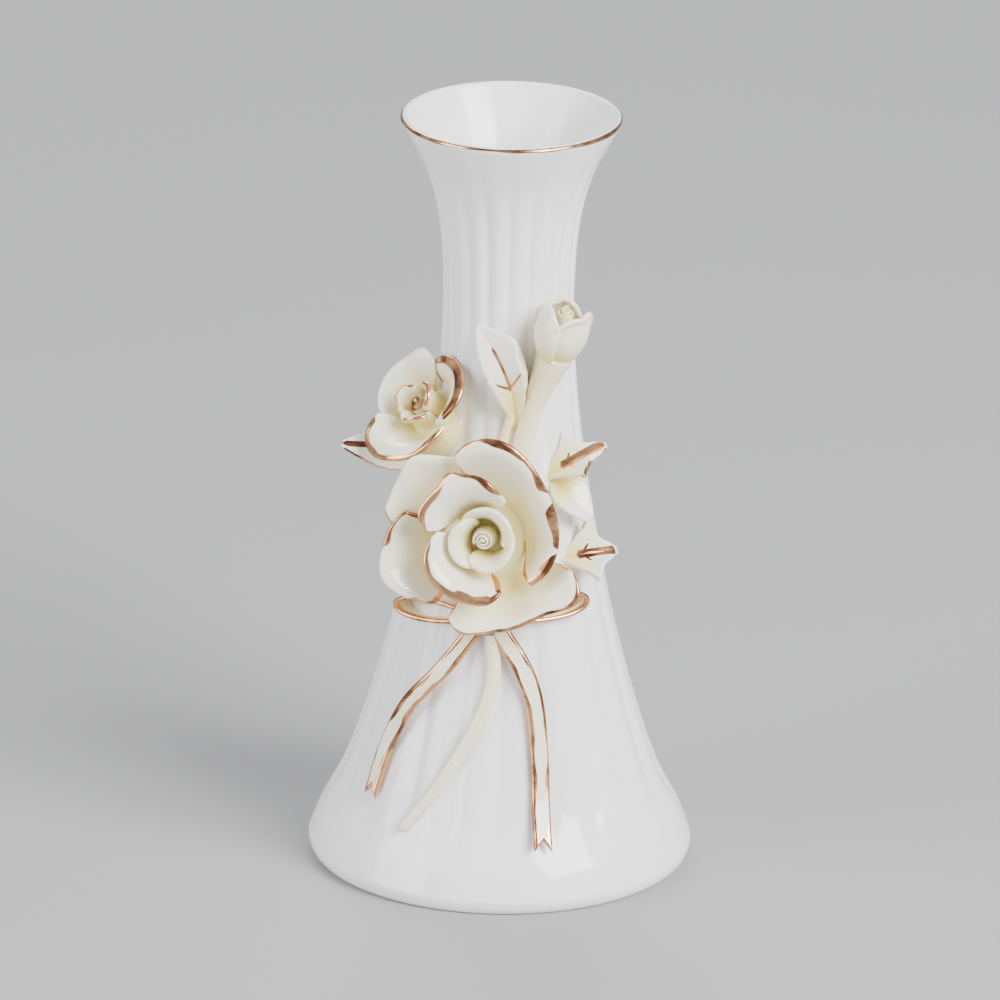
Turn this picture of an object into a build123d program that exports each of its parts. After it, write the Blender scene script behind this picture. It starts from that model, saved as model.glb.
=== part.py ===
"""Porcelain bud vase with applied roses and ribbon, in millimetres.

The frame is the vase's own: +Z up, the origin at the centre of the foot, and the flowers on the -Y side.
Each hand-made piece of clay is its own solid and its own file in parts/.
"""

import os
from math import asin, cos, degrees, exp, pi, radians, sin

from build123d import *

# ---------------------------------------------------------------- driving dimensions
HEIGHT = 135.0  # foot to lip
FOOT_RADIUS = 32.0  # where the foot meets the table
FOOT_ROUND = 2.4  # height of the rounded foot
BAND_TOP = 7.0  # the plain band below the flutes
LIP_BOTTOM = 131.0  # the plain lip above the flutes
LIP_ROUND = 0.65  # half the lip's thickness
FLOOR = 4.5  # height of the floor inside
FLOOR_RADIUS = 24.0
RECESS_RADIUS = 26.0  # the hollow under the foot
RECESS_DEPTH = 1.6
NECK_BORE_RADIUS = 9.0  # the straight stretch inside the neck
NECK_BORE_BOTTOM = 94.0
NECK_BORE_TOP = 108.0
FLUTES = 20
FLUTE_DEPTH = 0.45
FLUTE_LEVELS = [0, 3, BAND_TOP, 11, 15, 25, 35, 46, 58, 70, 84, 98, 109, 118, 125, LIP_BOTTOM, HEIGHT]
CLAY = 0.9  # thickness of a rolled-out petal
GOLD_LINE = 0.2  # thickness given to the gold line on the lip

# Height and radius of the outside, without the flutes.
OUTSIDE = [
    (0.0, 34.4),
    (7.0, 31.9),
    (15.0, 27.8),
    (25.0, 24.3),
    (35.0, 21.4),
    (46.0, 18.7),
    (58.0, 16.3),
    (70.0, 14.2),
    (84.0, 12.4),
    (98.0, 11.5),
    (109.0, 11.6),
    (118.0, 12.5),
    (125.0, 14.4),
    (131.0, 17.3),
    (136.0, 20.0),
]
# Height and radius of the inside below and above the neck's straight stretch.
INSIDE_BELLY = [(9.0, 27.6), (15.0, 25.0), (35.0, 18.7), (58.0, 13.6), (78.0, 10.3)]
INSIDE_MOUTH = [(116.0, 9.6), (124.0, 11.7)]


def body_radius(z):
    """Radius of the outside at height z: a cubic through the points of OUTSIDE."""
    k = max(i for i in range(len(OUTSIDE) - 1) if i == 0 or OUTSIDE[i][0] <= z)
    (z0, r0), (z1, r1) = OUTSIDE[k], OUTSIDE[k + 1]

    def slope(i):
        lo, hi = OUTSIDE[max(i - 1, 0)], OUTSIDE[min(i + 1, len(OUTSIDE) - 1)]
        return (hi[1] - lo[1]) / (hi[0] - lo[0])

    span = z1 - z0
    t = (z - z0) / span
    return (
        r0 * (2 * t**3 - 3 * t**2 + 1)
        + slope(k) * span * (t**3 - 2 * t**2 + t)
        + r1 * (3 * t**2 - 2 * t**3)
        + slope(k + 1) * span * (t**3 - t**2)
    )


def on_body(angle, z, out=0.0):
    """The point on the outside at height z, angle degrees to the right of the front, raised by out."""
    r = body_radius(z) + out
    return Vector(r * sin(radians(angle)), -r * cos(radians(angle)), z)


def front(x, z, gap=0.0):
    """The point on the front of the body x to the right of the middle at height z, raised by gap."""
    return on_body(degrees(asin(x / (body_radius(z) + gap))), z, gap)


def flower_plane(angle, z, azimuth, elevation):
    """A flower's seat on the body: its normal is the flower's axis."""
    a, e = radians(azimuth), radians(elevation)
    return Plane(
        origin=on_body(angle, z),
        x_dir=Vector(cos(a), sin(a), 0),
        z_dir=Vector(sin(a) * cos(e), -cos(a) * cos(e), sin(e)),
    )


LIP_MIDDLE = body_radius(HEIGHT - LIP_ROUND) - LIP_ROUND
LARGE = flower_plane(-9, 64, -9, 10)
SMALL = flower_plane(-67, 81.2, -48, 37)
BUD = Plane(origin=(7.8, -13.0, 95.3), x_dir=(1, 0, 0), z_dir=(0.21, -0.12, 0.97))
CLOSED_BUD = Plane(origin=(1.8, -13.1, 88.8), x_dir=(1, 0, 0), z_dir=(-0.1, 0.02, 1))

# ---------------------------------------------------------------- petals
# Tiers of petals: root as distance from the axis and height, lean from the axis there, lean at the full
# length, full length, how late the curl comes, and slip.
LARGE_INNER = ((3.7, 1.8), 2, 32, 9.0, 1.6, 0.5)
LARGE_MIDDLE = ((5.8, 1.9), 16, 150, 13.6, 4.0, 0.52)
LARGE_SHELL = ((6.8, 2.0), 40, 62, 16.0, 1.5, 0.0)
LARGE_OUTER = ((8.2, 0.7), 52, 62, 14.5, 1.6, 0.68)
SMALL_INNER = ((3.0, 1.2), 0, 26, 7.2, 1.6, 0.5)
SMALL_OUTER = ((4.8, 0.6), 24, 120, 10.0, 3.0, 0.6)
BUD_PETALS = ((2.4, 0.0), 44, -42, 12.2, 1.0, 0.5)
# Petals: name, flower, what it is luted to, tier, middle and half spread in degrees, length, and the corners
# of its rim as place across, how far drawn out, and how broad.
PETALS = [
    ("large_rose_inner_left", LARGE, "large_rose_base", LARGE_INNER, 188, 62, 8.4, []),
    ("large_rose_inner_top", LARGE, "large_rose_base", LARGE_INNER, 64, 62, 9.0, []),
    ("large_rose_inner_bottom", LARGE, "large_rose_base", LARGE_INNER, 306, 62, 7.8, []),
    ("large_rose_middle_left", LARGE, "large_rose_base", LARGE_MIDDLE, 117, 55, 12.6, [(0.8, 1.5, 0.3)]),
    ("large_rose_middle_bottom", LARGE, "large_rose_base", LARGE_MIDDLE, 232, 62, 11.2, [(0.85, 1.6, 0.3)]),
    ("large_rose_middle_right", LARGE, "large_rose_base", LARGE_SHELL, 34, 76, 9.0, [(0.75, 7.4, 0.5)]),
    ("large_rose_outer_left", LARGE, "large_rose_base", LARGE_OUTER, 147, 34, 12.0, [(-0.4, 1.4, 0.3)]),
    ("large_rose_outer_low", LARGE, "large_rose_base", LARGE_OUTER, 200, 36, 11.5, [(0.1, 1.7, 0.35)]),
    (
        *("large_rose_outer_bottom", LARGE, "large_rose_base", LARGE_OUTER, 296, 48, 10.1),
        [(-0.85, 2.4, 0.3), (0.75, 4.6, 0.3)],
    ),
    ("small_rose_inner_left", SMALL, "small_rose_base", SMALL_INNER, 170, 62, 6.8, []),
    ("small_rose_inner_top", SMALL, "small_rose_base", SMALL_INNER, 50, 62, 7.2, []),
    ("small_rose_inner_bottom", SMALL, "small_rose_base", SMALL_INNER, 290, 62, 6.2, []),
    ("small_rose_outer_left", SMALL, "small_rose_base", SMALL_OUTER, 155, 62, 8.2, [(-0.8, 1.5, 0.3)]),
    ("small_rose_outer_top", SMALL, "small_rose_base", SMALL_OUTER, 42, 60, 9.2, []),
    ("small_rose_outer_bottom", SMALL, "small_rose_base", SMALL_OUTER, 280, 66, 9.6, [(-0.5, 1.0, 0.3)]),
    ("rosebud_petal_left", BUD, "rosebud_stem", BUD_PETALS, 200, 62, 11.2, []),
    ("rosebud_petal_back", BUD, "rosebud_stem", BUD_PETALS, 80, 62, 12.2, []),
    ("rosebud_petal_right", BUD, "rosebud_stem", BUD_PETALS, 320, 62, 10.4, []),
]


def petal_face(plane, tier, middle, spread, length, corners):
    """The outer face of one petal of the flower that stands on plane.

    Every petal of a tier follows the same curve away from the flower's axis. One side of a petal is slipped
    under its neighbour and the other side over it.
    """
    root, lean, curl, full, late, slip = tier
    steps = 12
    rows = []
    for i in range(17):
        u = i / 8 - 1
        reach = length * (1 - 0.3 * abs(u) ** 2.5)
        reach += sum(drawn * exp(-(((u - where) / broad) ** 2)) for where, drawn, broad in corners)
        radius, height = root
        row = []
        for j in range(steps + 1):
            angle = radians(lean + (curl - lean) * (j / steps * reach / full) ** late)
            turn = radians(middle + u * spread * (0.5 + 0.5 * sin(pi / 2 * min(1.0, 1.4 * j / steps))))
            out = radius + slip * u * cos(angle)
            up = height - slip * u * sin(angle)
            row.append(plane.from_local_coords(Vector(out * cos(turn), out * sin(turn), up)))
            half_way = radians(lean + (curl - lean) * ((j + 0.5) / steps * reach / full) ** late)
            radius += sin(half_way) * reach / steps
            height += cos(half_way) * reach / steps
        rows.append(row)
    return Face.make_surface_from_array_of_points(rows, tol=0.01, min_deg=1, max_deg=3)


# ---------------------------------------------------------------- leaves
# Leaves: name, root, tip, direction across, then width, arch, bend sideways, fold on the rib, where the leaf
# is widest, and how pointed it is.
LEAVES = [
    (
        "leaf_left",
        on_body(-58, 77.0, -0.6),
        Vector(-28.4, -6.5, 76.5),
        Vector(0, -0.7, -0.7),
        *(8.5, 0.8, 0.0, 0.3, 0.8, 0.9),
    ),
    (
        "leaf_centre",
        on_body(8, 81.0, -0.4),
        Vector(-5.0, -15.2, 101.7),
        Vector(1, 0, 0.3),
        *(6.8, 1.8, 1.8, 0.3, 1.5, 0.8),
    ),
    (
        "leaf_right_upper",
        on_body(30, 73.0, -0.6),
        Vector(17.2, -10.0, 78.8),
        Vector(0.1, -0.7, -0.7),
        *(7.2, 0.5, 0.0, 0.5, 1.1, 1.3),
    ),
    (
        "leaf_right_middle",
        on_body(38, 72.5, -0.6),
        Vector(15.0, -12.2, 65.6),
        Vector(-0.6, -0.7, -0.4),
        *(7.0, 0.8, 0.0, 0.2, 0.8, 0.8),
    ),
    (
        "leaf_right_lower",
        on_body(38, 58.5, -0.6),
        Vector(19.6, -9.4, 59.2),
        Vector(0, -0.6, -0.8),
        *(8.6, 0.5, 0.0, 0.5, 1.1, 1.3),
    ),
]


def leaf_face(root, tip, across, width, arch, bend, fold, widest, pointed):
    """A leaf from root to tip, lying across the given direction, arched, and folded on its rib."""
    along = tip - root
    side = (across - along * (across.dot(along) / along.dot(along))).normalized()
    up = side.cross(along).normalized()
    rows = []
    for i in range(9):
        t = i / 8
        half = width / 2 * (0.12 + 0.88 * sin(pi * t**widest) ** pointed)
        spine = root + along * t + (up * arch + side * bend) * sin(pi * t)
        ribs = [half * j for j in (-1, -0.5, 0, 0.5, 1)]
        rows.append([spine + side * w + up * (fold * abs(w)) for w in ribs])
    return Face.make_surface_from_array_of_points(rows, tol=0.01, min_deg=1, max_deg=3)


# ---------------------------------------------------------------- bow
KNOT = Vector(-1.6, -15.4, 49.4)
LOOP_WIDTH = 2.5
RIBBON = 1.2  # thickness of the tails
NOTCH = 2.0  # depth of the cut in a tail's end
# The two loops of the bow: start, tip, and how far they bulge.
LOOPS = [
    ("ribbon_loop_left", Vector(-4.6, -17.2, 49.8), Vector(-17.4, -9.2, 48.9), 1.9),
    ("ribbon_loop_right", Vector(1.2, -18.2, 50.3), Vector(13.6, -12.9, 51.8), 2.0),
]
# The two tails: offset to the right, height, and gap below, then the ribbon's width.
TAILS = [
    (
        "ribbon_tail_left",
        [(-4.4, 48.2, 0.6), (-10.4, 40.6, 2.2), (-16.2, 33.2, 1.8), (-20.0, 24.4, 0.6), (-22.6, 15.6, 0.0)],
        3.0,
    ),
    (
        "ribbon_tail_right",
        [
            *[(-0.6, 47.6, 0.6), (3.6, 41.2, 1.2), (5.7, 35.0, 0.5)],
            *[(6.7, 25.5, 0.2), (7.1, 17.6, 0.4), (7.6, 11.2, 1.6)],
        ],
        3.3,
    ),
]
# The bouquet's cut stem below the bow: offset to the right and height.
STEM_PATH = [(-1.9, 46.5), (-1.6, 39.0), (-3.8, 32.2), (-10.0, 21.7), (-17.6, 11.8)]


def ribbon_face(path, width):
    """A ribbon lying over the body along path, a list of offset to the right, height, and gap below it."""
    spine = [front(x, z, gap) for x, z, gap in path]
    rows = []
    for i, point in enumerate(spine):
        along = (spine[min(i + 1, len(spine) - 1)] - spine[max(i - 1, 0)]).normalized()
        away = Vector(point.X, point.Y, 0).normalized()
        side = along.cross(away).normalized()
        rows.append([point + side * (width / 2 * j) for j in (-1, -0.5, 0, 0.5, 1)])
    return Face.make_surface_from_array_of_points(rows, tol=0.01, min_deg=1, max_deg=3)


def loop_face(start, tip, bulge):
    """A teardrop loop of ribbon from start out to tip and back, standing on its edge."""
    along = tip - start
    away = Vector(start.X + tip.X, start.Y + tip.Y, 0).normalized()
    rise = away.cross(along).normalized()
    rows = []
    for i in range(21):
        t = i / 10 - 1
        point = start + along * (1 - t * t) ** 0.7 + rise * (1.6 * bulge * t * (1 - t * t) ** 0.8 + 0.9 * t)
        rows.append([point + away * w for w in (-3, -1.5, 0, LOOP_WIDTH / 2, LOOP_WIDTH)])
    return Face.make_surface_from_array_of_points(rows, tol=0.01, min_deg=1, max_deg=3)


# ---------------------------------------------------------------- the cast body


def flute_depth(z):
    """The flutes die away into the plain band and the plain lip."""
    rise = min(1.0, max(0.0, (z - BAND_TOP) / 8.0))
    fall = min(1.0, max(0.0, (LIP_BOTTOM - z) / 14.0))
    return FLUTE_DEPTH * rise * fall


def flute_point(step, z):
    """A point of the outside at height z; whole steps are the grooves between flutes."""
    a = 2 * pi * step / FLUTES
    radius = body_radius(z) - flute_depth(z) * (1 - abs(sin(pi * step)))
    return (radius * cos(a), radius * sin(a))


with BuildPart() as vase_solid:  # the outside, before it is hollowed
    for level in FLUTE_LEVELS:
        with BuildSketch(Plane.XY.offset(level)):
            with BuildLine():
                Spline(*[flute_point(k / 4, level) for k in range(4 * FLUTES)], periodic=True)
            make_face()
    loft()
    with BuildSketch(Plane.XZ):  # rounds the foot
        with BuildLine():
            foot_top = (body_radius(FOOT_ROUND), FOOT_ROUND)
            ThreePointArc((FOOT_RADIUS, 0), (FOOT_RADIUS + 1.3, 0.9), foot_top)
            Line(foot_top, (38, FOOT_ROUND))
            Line((38, FOOT_ROUND), (38, -1))
            Line((38, -1), (FOOT_RADIUS, -1))
            Line((FOOT_RADIUS, -1), (FOOT_RADIUS, 0))
        make_face()
    revolve(axis=Axis.Z, mode=Mode.SUBTRACT)
    with BuildSketch(Plane.XZ):  # rounds the outside of the lip
        with BuildLine():
            RadiusArc((LIP_MIDDLE, HEIGHT), (LIP_MIDDLE + LIP_ROUND, HEIGHT - LIP_ROUND), LIP_ROUND)
            Line((LIP_MIDDLE + LIP_ROUND, HEIGHT - LIP_ROUND), (24, HEIGHT - LIP_ROUND))
            Line((24, HEIGHT - LIP_ROUND), (24, HEIGHT + 1))
            Line((24, HEIGHT + 1), (LIP_MIDDLE, HEIGHT + 1))
            Line((LIP_MIDDLE, HEIGHT + 1), (LIP_MIDDLE, HEIGHT))
        make_face()
    revolve(axis=Axis.Z, mode=Mode.SUBTRACT)

with BuildPart() as vase_body:
    add(vase_solid.part)
    with BuildSketch(Plane.XZ):  # the hollow
        with BuildLine():
            Line((0, FLOOR), (FLOOR_RADIUS, FLOOR))
            Spline(
                (FLOOR_RADIUS, FLOOR),
                *[(r, z) for z, r in INSIDE_BELLY],
                (NECK_BORE_RADIUS, NECK_BORE_BOTTOM),
                tangents=[(1, 0), (0, 1)],
            )
            Line((NECK_BORE_RADIUS, NECK_BORE_BOTTOM), (NECK_BORE_RADIUS, NECK_BORE_TOP))
            Spline(
                (NECK_BORE_RADIUS, NECK_BORE_TOP),
                *[(r, z) for z, r in INSIDE_MOUTH],
                (LIP_MIDDLE - LIP_ROUND, HEIGHT - LIP_ROUND),
                tangents=[(0, 1), (0.6, 1)],
            )
            RadiusArc((LIP_MIDDLE - LIP_ROUND, HEIGHT - LIP_ROUND), (LIP_MIDDLE, HEIGHT), LIP_ROUND)
            Line((LIP_MIDDLE, HEIGHT), (LIP_MIDDLE, HEIGHT + 1))
            Line((LIP_MIDDLE, HEIGHT + 1), (0, HEIGHT + 1))
            Line((0, HEIGHT + 1), (0, FLOOR))
        make_face()
    revolve(axis=Axis.Z, mode=Mode.SUBTRACT)
    with BuildSketch(Plane.XY):  # the hollow under the foot
        Circle(RECESS_RADIUS)
    extrude(amount=RECESS_DEPTH, mode=Mode.SUBTRACT)
    with BuildSketch(Plane.XZ):  # a seat for the gold
        with Locations((LIP_MIDDLE, HEIGHT - LIP_ROUND)):
            Circle(LIP_ROUND + 0.4)
            Circle(LIP_ROUND - GOLD_LINE, mode=Mode.SUBTRACT)
            Rectangle(5, 5, align=(Align.MAX, Align.CENTER), mode=Mode.SUBTRACT)
            Rectangle(5, 5, align=(Align.CENTER, Align.MAX), mode=Mode.SUBTRACT)
    revolve(axis=Axis.Z, mode=Mode.SUBTRACT)

with BuildPart() as rim_gold_line:
    with BuildSketch(Plane.XZ):
        with Locations((LIP_MIDDLE, HEIGHT - LIP_ROUND)):
            Circle(LIP_ROUND)
            Circle(LIP_ROUND - GOLD_LINE, mode=Mode.SUBTRACT)
            Rectangle(5, 5, align=(Align.MAX, Align.CENTER), mode=Mode.SUBTRACT)
            Rectangle(5, 5, align=(Align.CENTER, Align.MAX), mode=Mode.SUBTRACT)
    revolve(axis=Axis.Z)

pieces = {"vase_body": vase_body, "rim_gold_line": rim_gold_line}

# ---------------------------------------------------------------- pads of clay under the roses
# Name, flower, radius at the body, height.
for name, plane, radius, height in [
    ("large_rose_base", LARGE, 9.4, 3.6),
    ("small_rose_base", SMALL, 6.4, 2.7),
]:
    with BuildPart() as pad:
        with BuildSketch(Plane(plane.origin, x_dir=plane.x_dir, z_dir=-plane.y_dir)):
            with BuildLine():
                Line((0, -5), (radius, -5))
                Spline(
                    (radius, -5),
                    (radius - 0.2, -0.5),
                    (0.75 * radius, 0.65 * height),
                    (0, height),
                    tangents=[(0, 1), (-1, 0)],
                )
                Line((0, height), (0, -5))
            make_face()
        revolve(axis=Axis(plane.origin, plane.z_dir))
        add(vase_solid.part, mode=Mode.SUBTRACT)
    pieces[name] = pad

# ---------------------------------------------------------------- ribbon
with BuildPart() as ribbon_knot:  # an oval lump across the front
    with BuildSketch(Plane(KNOT, x_dir=(1, 0, 0), z_dir=(0, -1, 0))):
        Ellipse(4.6, 2.3)
    extrude(amount=5.2)
    fillet(ribbon_knot.faces().sort_by(Axis.Y)[0].edges(), radius=1.0)
    add(vase_solid.part, mode=Mode.SUBTRACT)
pieces["ribbon_knot"] = ribbon_knot

for name, start, tip, bulge in LOOPS:
    with BuildPart() as loop:  # open between its two limbs
        thicken(loop_face(start, tip, bulge), amount=CLAY)
        add([vase_solid.part, ribbon_knot.part], mode=Mode.SUBTRACT)
    pieces[name] = loop

loops = [pieces[name].part for name, *_ in LOOPS]
for name, path, width in TAILS:
    with BuildPart() as tail:
        thicken(ribbon_face(path, width), amount=-RIBBON)
        end, before = front(*path[-1]), front(*path[-2])
        with BuildSketch(Plane(end, x_dir=(end - before).normalized(), z_dir=Vector(end.X, end.Y, 0))):
            Polygon((1, -2.2), (1, 2.2), (-NOTCH, 0), align=None)
        extrude(amount=6, both=True, mode=Mode.SUBTRACT)
        add([vase_solid.part, ribbon_knot.part, *loops], mode=Mode.SUBTRACT)
    pieces[name] = tail

# ---------------------------------------------------------------- stems and the closed bud
with BuildPart() as rosebud_stem:  # swells into the cup under the petals
    with BuildLine():
        rosebud_rise = Spline(
            on_body(14, 79, -1.5),
            Vector(4.8, -12.9, 87.2),
            BUD.origin + BUD.z_dir * 0.6,
            tangents=[(0.1, -0.6, 1), (0.4, -0.05, 0.9)],
        )
    for part_way, radius in [(0, 1.7), (0.35, 1.8), (0.75, 2.4), (1, 3.3)]:
        with BuildSketch(Plane(rosebud_rise @ part_way, z_dir=rosebud_rise % part_way)):
            Circle(radius)
    loft()
    add(vase_solid.part, mode=Mode.SUBTRACT)
pieces["rosebud_stem"] = rosebud_stem

with BuildPart() as closed_bud:  # a teardrop, thickest a third of the way up
    for height, radius in [(-0.5, 0.7), (0.8, 1.6), (3.6, 2.2), (7.0, 1.7), (10.2, 0.4)]:
        with BuildSketch(CLOSED_BUD.offset(height)):
            Circle(radius)
    loft()
    add(vase_solid.part, mode=Mode.SUBTRACT)
pieces["closed_bud"] = closed_bud

with BuildPart() as closed_bud_stem:
    with BuildLine():
        closed_bud_rise = Spline(
            on_body(-2, 80.5, -1.2),
            Vector(0.7, -13.3, 85.0),
            CLOSED_BUD.origin + CLOSED_BUD.z_dir * 0.5,
            tangents=[(0, -0.6, 1), (0.2, 0.1, 1)],
        )
    with BuildSketch(Plane(closed_bud_rise @ 0, z_dir=closed_bud_rise % 0)):
        Circle(0.8)
    sweep()
    add([vase_solid.part, closed_bud.part, rosebud_stem.part], mode=Mode.SUBTRACT)
pieces["closed_bud_stem"] = closed_bud_stem

with BuildPart() as stem_end:  # the bouquet's cut stem, lying on the body below the bow
    with BuildLine():
        stem_run = Spline(*[front(x, z, 0.35) for x, z in STEM_PATH])
    for part_way, radius in [(0, 1.35), (0.5, 1.2), (1, 0.9)]:
        with BuildSketch(Plane(stem_run @ part_way, z_dir=stem_run % part_way)):
            Circle(radius)
    loft()
    add([vase_solid.part, ribbon_knot.part, pieces["ribbon_tail_right"].part], mode=Mode.SUBTRACT)
pieces["stem_end"] = stem_end

# ---------------------------------------------------------------- rolled cores
STRIP = 0.5  # thickness of the strip of clay that is rolled up
TURN_GAP = 0.68  # from one turn of the roll to the next


def roll_points(outer):
    """A spiral from near the middle out to the radius outer, ten points to a turn."""
    count = round(10 * (outer - 0.4) / TURN_GAP)
    spiral = [(0.4 + TURN_GAP / 10 * k, radians(36 * k)) for k in range(count + 1)]
    return [(r * cos(a), r * sin(a)) for r, a in spiral]


for name, plane, seat, outer, low, top in [
    ("large_rose_core", LARGE, "large_rose_base", 2.2, 1.0, 9.8),
    ("small_rose_core", SMALL, "small_rose_base", 1.5, 1.6, 8.0),
    ("rosebud_core", BUD, "rosebud_stem", 1.4, -0.4, 10.0),
]:
    with BuildPart() as core:
        with BuildSketch(plane.offset(low)):
            with BuildLine():
                Spline(*roll_points(outer - STRIP / 2))
            trace(line_width=STRIP)
        extrude(amount=top - low)
        add(pieces[seat].part, mode=Mode.SUBTRACT)
    pieces[name] = core

# ---------------------------------------------------------------- petals and leaves, cut and luted on
for name, plane, seat, tier, middle, spread, length, corners in PETALS:
    with BuildPart() as petal:
        thicken(petal_face(plane, tier, middle, spread, length, corners), amount=-CLAY)
        add(pieces[seat].part, mode=Mode.SUBTRACT)
        if plane is not LARGE:  # the large rose stands clear of the body on its pad
            add(vase_solid.part, mode=Mode.SUBTRACT)
    pieces[name] = petal

before_leaves = ("small_rose_base", "rosebud_stem", "closed_bud", "closed_bud_stem")
luted_before = [pieces[name].part for name in before_leaves]
for name, *shape in LEAVES:
    with BuildPart() as leaf:
        thicken(leaf_face(*shape), amount=CLAY)
        add([vase_solid.part, *luted_before], mode=Mode.SUBTRACT)
    pieces[name] = leaf

os.makedirs("parts", exist_ok=True)
for name, piece in pieces.items():
    piece.part.label = name
    export_step(piece.part, f"parts/{name}.step")
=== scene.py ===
from math import cos, pi, radians, sin, sqrt

import bmesh
import bpy
import numpy as np
from mathutils import Matrix, Vector


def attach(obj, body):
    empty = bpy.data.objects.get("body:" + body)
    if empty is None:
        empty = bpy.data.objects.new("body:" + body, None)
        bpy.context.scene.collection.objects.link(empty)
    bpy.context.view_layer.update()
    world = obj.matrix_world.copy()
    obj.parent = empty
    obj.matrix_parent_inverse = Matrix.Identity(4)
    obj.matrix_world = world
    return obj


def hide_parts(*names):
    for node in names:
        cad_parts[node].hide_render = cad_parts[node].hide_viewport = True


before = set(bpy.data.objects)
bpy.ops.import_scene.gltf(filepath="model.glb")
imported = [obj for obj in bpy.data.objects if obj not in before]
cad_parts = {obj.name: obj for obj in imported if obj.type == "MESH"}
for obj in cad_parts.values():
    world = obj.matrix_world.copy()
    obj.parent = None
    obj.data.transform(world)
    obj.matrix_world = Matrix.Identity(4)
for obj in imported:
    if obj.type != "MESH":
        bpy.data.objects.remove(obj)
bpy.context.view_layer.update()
MM = 0.001
WHITE, CREAM, LEAF, GOLD = "white_glaze", "cream_glaze", "leaf_glaze", "gold"

# ---------------------------------------------------------------- sizes, in millimetres
HEIGHT = 135.0
LIP_ROUND = 0.65  # half the lip's thickness
LIP_MIDDLE = HEIGHT - LIP_ROUND  # height of the middle of its rounding
BAND_TOP = 7.0  # top of the plain band below the flutes
LIP_BOTTOM = 131.0  # bottom of the plain lip above them
FLUTES, FLUTE_DEPTH = 20, 0.58
FLOOR = 4.5  # height of the floor inside
FOOT_RADIUS, FOOT_ROUND = 32.0, 2.6  # where the foot's rounded edge starts, and its height
RECESS_RADIUS, RECESS_DEPTH = 24.6, 1.6  # the hollow under the foot
CLAY = 0.9  # thickness of a petal or a leaf
OPEN = 9.0  # as the distance to an edge: further away than any gold reaches

# (height, radius) of the body
OUTSIDE = [
    (0.0, 34.4), (7.0, 31.9), (15.0, 27.8), (25.0, 24.3), (35.0, 21.4), (46.0, 18.7), (58.0, 16.3),
    (70.0, 14.2), (84.0, 12.4), (98.0, 11.5), (109.0, 11.6), (118.0, 12.5), (125.0, 14.4),
    (131.0, 17.3), (136.0, 20.0),
]
INSIDE = [
    (4.5, 23.0), (5.2, 25.6), (9.0, 27.6), (15.0, 25.0), (35.0, 18.7), (58.0, 13.6), (78.0, 10.3),
    (94.0, 9.0), (108.0, 9.0), (116.0, 9.6), (124.0, 11.7), (130.0, 14.95), (134.3, 17.75),
]


def smooth_curve(at, values, where):
    """A smooth curve with these values at the places `at`, read at `where`."""
    index = np.arange(len(at))
    lo, hi = np.maximum(index - 1, 0), np.minimum(index + 1, len(at) - 1)
    slope = (values[hi] - values[lo]) / (at[hi] - at[lo])
    k = np.clip(np.searchsorted(at, where, side="right") - 1, 0, len(at) - 2)
    d = at[k + 1] - at[k]
    t = (where - at[k]) / d
    return (
        values[k] * (2 * t**3 - 3 * t**2 + 1)
        + slope[k] * d * (t**3 - 2 * t**2 + t)
        + values[k + 1] * (3 * t**2 - 2 * t**3)
        + slope[k + 1] * d * (t**3 - t**2)
    )


def profile_radius(profile, z):
    heights, radii = np.array(profile).T
    return float(smooth_curve(heights, radii, z))


def body_radius(z):
    return profile_radius(OUTSIDE, z)


def on_body(angle, z, out=0.0):
    """The point on the outside at height z, angle degrees right of the front, raised by out."""
    r = body_radius(z) + out
    return np.array([r * sin(radians(angle)), -r * cos(radians(angle)), z])


def front(x, z, gap):
    """The point on the front of the body, x right of the middle, raised by gap."""
    r = body_radius(z) + gap
    return np.array([x, -sqrt(max(r * r - x * x, 0.0)), z])


# ---------------------------------------------------------------- meshes


def mesh_object(name, points, faces, attributes=None):
    """A smooth mesh from points in millimetres, with one float attribute per entry of attributes."""
    data = bpy.data.meshes.new(name)
    data.from_pydata((np.asarray(points) * MM).tolist(), [], [list(map(int, f)) for f in faces])
    data.update()
    for key, values in (attributes or {}).items():
        layer = data.attributes.new(key, "FLOAT", "POINT")
        layer.data.foreach_set("value", np.asarray(values, np.float32).ravel())
    data.polygons.foreach_set("use_smooth", [True] * len(data.polygons))
    piece = bpy.data.objects.new(name, data)
    bpy.context.scene.collection.objects.link(piece)
    return piece


def even(count, **values):
    """Attributes that are the same at all the points of a piece."""
    return {key: np.full(count, value) for key, value in values.items()}


def grid_faces(rows, cols, start=0, wrap=False):
    """The faces of a grid of points, closed round its columns if wrap."""
    r, c = np.meshgrid(np.arange(rows - 1), np.arange(cols if wrap else cols - 1), indexing="ij")
    d = (c + 1) % cols
    here, beyond = start + r * cols, start + (r + 1) * cols
    return np.stack([here + c, here + d, beyond + d, beyond + c], -1).reshape(-1, 4)


def outward(piece):
    """Join points that coincide, and point every face away from the inside."""
    bm = bmesh.new()
    bm.from_mesh(piece.data)
    bmesh.ops.remove_doubles(bm, verts=bm.verts, dist=1e-6)
    bmesh.ops.recalc_face_normals(bm, faces=bm.faces)
    bm.to_mesh(piece.data)
    bm.free()
    return piece


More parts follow.
